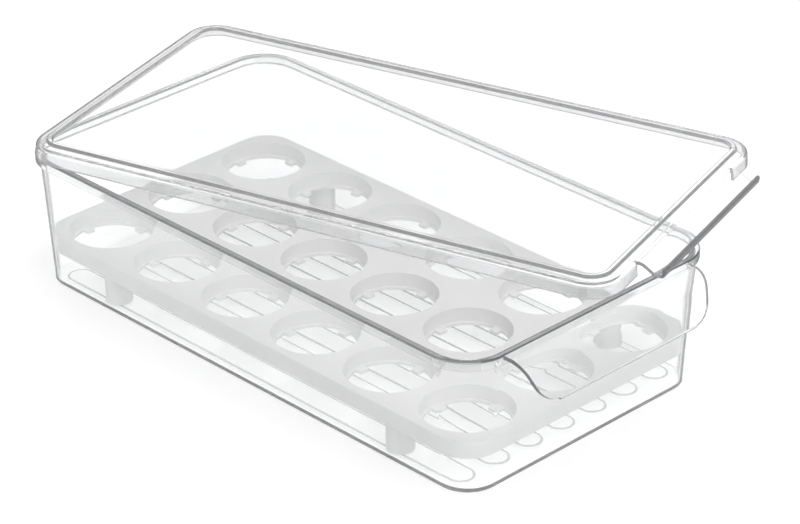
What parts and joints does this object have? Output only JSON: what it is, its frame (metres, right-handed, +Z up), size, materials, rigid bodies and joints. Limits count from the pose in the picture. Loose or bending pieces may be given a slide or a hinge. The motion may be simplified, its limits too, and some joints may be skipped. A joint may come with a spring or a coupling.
{
  "type": "egg keeper",
  "caption": "Long clear storage bin with a curved front grip, a white egg tray on four posts inside and a loose clear lid with a pull tab lying askew on the rim.",
  "frame": {"origin": "centre of the bin's base face, on the surface that it stands on", "axes": "+X towards the end with the grip, along the length; +Y across the width; +Z up"},
  "size_m": [0.3511, 0.236, 0.0771],
  "materials": {
    "clear_bin": "clear, polished",
    "white_tray": "white, softly glossy",
    "clear_lid": "clear with a faint haze"
  },
  "bodies": {
    "bin": {"bin": "clear_bin"},
    "egg_tray": {"egg_tray": "white_tray"},
    "lid": {"lid": "clear_lid"}
  },
  "joints": [
    {"name": "lift_lid", "type": "slide", "parent": "bin", "child": "lid", "axis": [0, 0, 1], "range_m": [0, 0.12]},
    {"name": "lift_tray", "type": "slide", "parent": "bin", "child": "egg_tray", "axis": [0, 0, 1], "range_m": [0, 0.04]}
  ]
}
